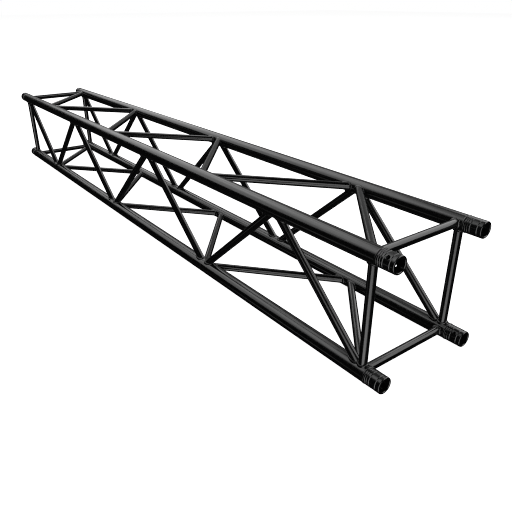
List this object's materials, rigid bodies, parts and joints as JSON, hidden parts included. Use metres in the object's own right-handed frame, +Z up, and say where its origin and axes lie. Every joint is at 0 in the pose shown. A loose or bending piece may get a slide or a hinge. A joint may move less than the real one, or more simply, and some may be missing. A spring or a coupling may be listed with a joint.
{
  "type": "lighting truss section",
  "caption": "Straight square box truss section with round chord tubes, zigzag diagonals in every face and pinned socket couplers at the chord ends.",
  "frame": {"origin": "on the ground under the middle of the section", "axes": "+X along the section to the right, +Y from the front face to the rear face, +Z up"},
  "size_m": [3, 0.4, 0.4],
  "materials": {
    "tube_coat": "satin black powder coat on aluminium tube",
    "coupler_coat": "satin black powder coat on turned aluminium",
    "weld_coat": "satin black powder coat over rippled weld bead"
  },
  "bodies": {
    "root": {"chord_front_bottom": "tube_coat", "chord_front_top": "tube_coat", "chord_rear_bottom": "tube_coat", "chord_rear_top": "tube_coat", "coupler_front_bottom_left": "coupler_coat", "coupler_front_bottom_right": "coupler_coat", "coupler_front_top_left": "coupler_coat", "coupler_front_top_right": "coupler_coat", "coupler_rear_bottom_left": "coupler_coat", "coupler_rear_bottom_right": "coupler_coat", "coupler_rear_top_left": "coupler_coat", "coupler_rear_top_right": "coupler_coat", "diagonal_bottom_1": "tube_coat", "diagonal_bottom_2": "tube_coat", "diagonal_bottom_3": "tube_coat", "diagonal_bottom_4": "tube_coat", "diagonal_bottom_5": "tube_coat", "diagonal_bottom_6": "tube_coat", "diagonal_bottom_7": "tube_coat", "diagonal_front_1": "tube_coat", "diagonal_front_2": "tube_coat", "diagonal_front_3": "tube_coat", "diagonal_front_4": "tube_coat", "diagonal_front_5": "tube_coat", "diagonal_front_6": "tube_coat", "diagonal_front_7": "tube_coat", "diagonal_rear_1": "tube_coat", "diagonal_rear_2": "tube_coat", "diagonal_rear_3": "tube_coat", "diagonal_rear_4": "tube_coat", "diagonal_rear_5": "tube_coat", "diagonal_rear_6": "tube_coat", "diagonal_rear_7": "tube_coat", "diagonal_top_1": "tube_coat", "diagonal_top_2": "tube_coat", "diagonal_top_3": "tube_coat", "diagonal_top_4": "tube_coat", "diagonal_top_5": "tube_coat", "diagonal_top_6": "tube_coat", "diagonal_top_7": "tube_coat", "post_front_left": "tube_coat", "post_front_right": "tube_coat", "post_rear_left": "tube_coat", "post_rear_right": "tube_coat", "rail_bottom_left": "tube_coat", "rail_bottom_right": "tube_coat", "rail_top_left": "tube_coat", "rail_top_right": "tube_coat", "welds_bottom": "weld_coat", "welds_couplers_left": "weld_coat", "welds_couplers_right": "weld_coat", "welds_front": "weld_coat", "welds_rear": "weld_coat", "welds_top": "weld_coat"}
  },
  "joints": []
}
